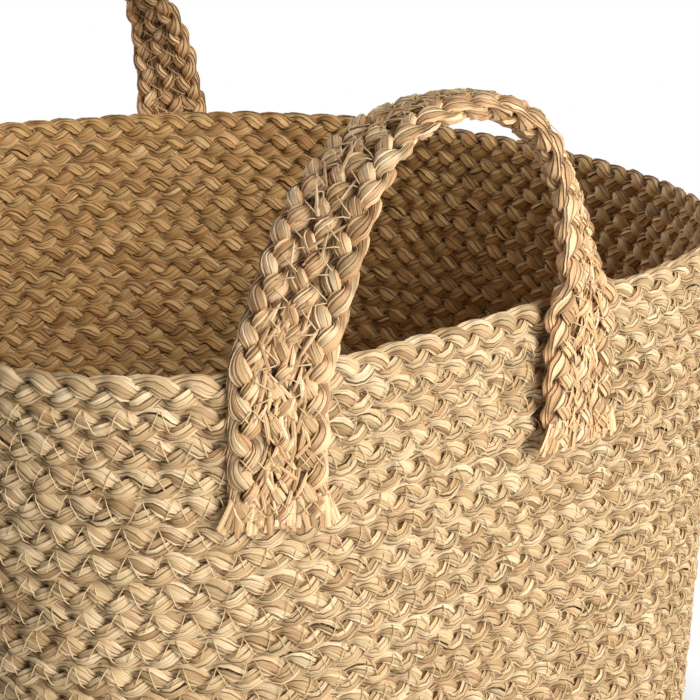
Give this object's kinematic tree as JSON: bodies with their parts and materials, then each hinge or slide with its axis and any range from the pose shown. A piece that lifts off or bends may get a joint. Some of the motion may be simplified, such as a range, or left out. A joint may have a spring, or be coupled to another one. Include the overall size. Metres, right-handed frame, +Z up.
{
  "type": "magazine basket",
  "caption": "Soft open basket sewn from a wound plait of dried leaf, with a strap handle of plaits on the front and on the back.",
  "frame": {"origin": "on the floor, under the middle of the rim's plan, on the base's underside", "axes": "+Z up; the front handle is on -Y and the back handle on +Y"},
  "size_m": [0.3959, 0.4707, 0.339],
  "materials": {
    "body": "dried leaf plait",
    "handle": "dried leaf plait",
    "thread": "sewing thread"
  },
  "bodies": {
    "basket": {"base_plait": "body", "wall_plait": "body", "front_handle_left_foot_plait_1": "handle", "front_handle_left_foot_plait_2": "handle", "front_handle_left_foot_plait_3": "handle", "front_handle_left_foot_stitch_line_1": "thread", "front_handle_left_foot_stitch_line_2": "thread", "front_handle_left_foot_stitch_line_3": "thread", "front_handle_right_foot_plait_1": "handle", "front_handle_right_foot_plait_2": "handle", "front_handle_right_foot_plait_3": "handle", "front_handle_right_foot_stitch_line_1": "thread", "front_handle_right_foot_stitch_line_2": "thread", "front_handle_right_foot_stitch_line_3": "thread", "back_handle_left_foot_plait_1": "handle", "back_handle_left_foot_plait_2": "handle", "back_handle_left_foot_plait_3": "handle", "back_handle_left_foot_stitch_line_1": "thread", "back_handle_left_foot_stitch_line_2": "thread", "back_handle_left_foot_stitch_line_3": "thread", "back_handle_right_foot_plait_1": "handle", "back_handle_right_foot_plait_2": "handle", "back_handle_right_foot_plait_3": "handle", "back_handle_right_foot_stitch_line_1": "thread", "back_handle_right_foot_stitch_line_2": "thread", "back_handle_right_foot_stitch_line_3": "thread"},
    "front_handle": {"front_handle_plait_1": "handle", "front_handle_plait_2": "handle", "front_handle_plait_3": "handle", "front_handle_seam_thread_1": "thread", "front_handle_seam_thread_2": "thread"},
    "back_handle": {"back_handle_plait_1": "handle", "back_handle_plait_2": "handle", "back_handle_plait_3": "handle", "back_handle_seam_thread_1": "thread", "back_handle_seam_thread_2": "thread"}
  },
  "joints": [
    {"name": "front_handle_lean", "type": "hinge", "parent": "basket", "child": "front_handle", "pos_m": [0.00047, -0.21221, 0.2724], "axis": [0.9695, 0.245, 0], "range_deg": [-40, 40]},
    {"name": "back_handle_lean", "type": "hinge", "parent": "basket", "child": "back_handle", "pos_m": [0.0005, 0.21261, 0.2724], "axis": [-0.9952, 0.0975, 0], "range_deg": [-40, 40]}
  ]
}
